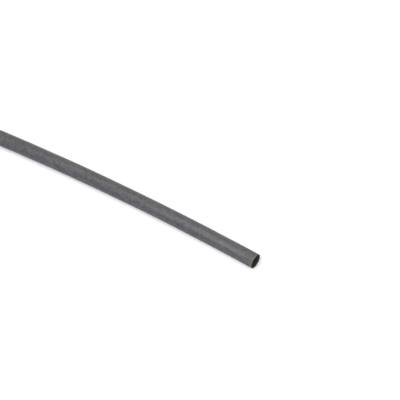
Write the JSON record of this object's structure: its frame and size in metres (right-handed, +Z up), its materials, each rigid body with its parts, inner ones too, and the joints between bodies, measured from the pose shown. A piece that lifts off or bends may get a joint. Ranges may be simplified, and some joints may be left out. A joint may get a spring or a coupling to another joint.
{
  "type": "heat shrink tube",
  "caption": "Slightly bowed, square-cut length of thin-walled heat shrink tube, open at both ends, that slips over wires and shrinks onto them when heated.",
  "frame": {"origin": "on the floor, under the middle of the tube's bounding box", "axes": "+X along the straight line between the cut ends, towards the open end that the picture shows; the middle of the bow bulges towards +Y; +Z up"},
  "size_m": [0.1504, 0.0094, 0.0071],
  "materials": {
    "dark_grey_polyolefin": "satin extruded polyolefin, with faint lines along the tube and dull, freshly cut ends"
  },
  "bodies": {
    "root": {"heat_shrink_tube": "dark_grey_polyolefin"}
  },
  "joints": []
}
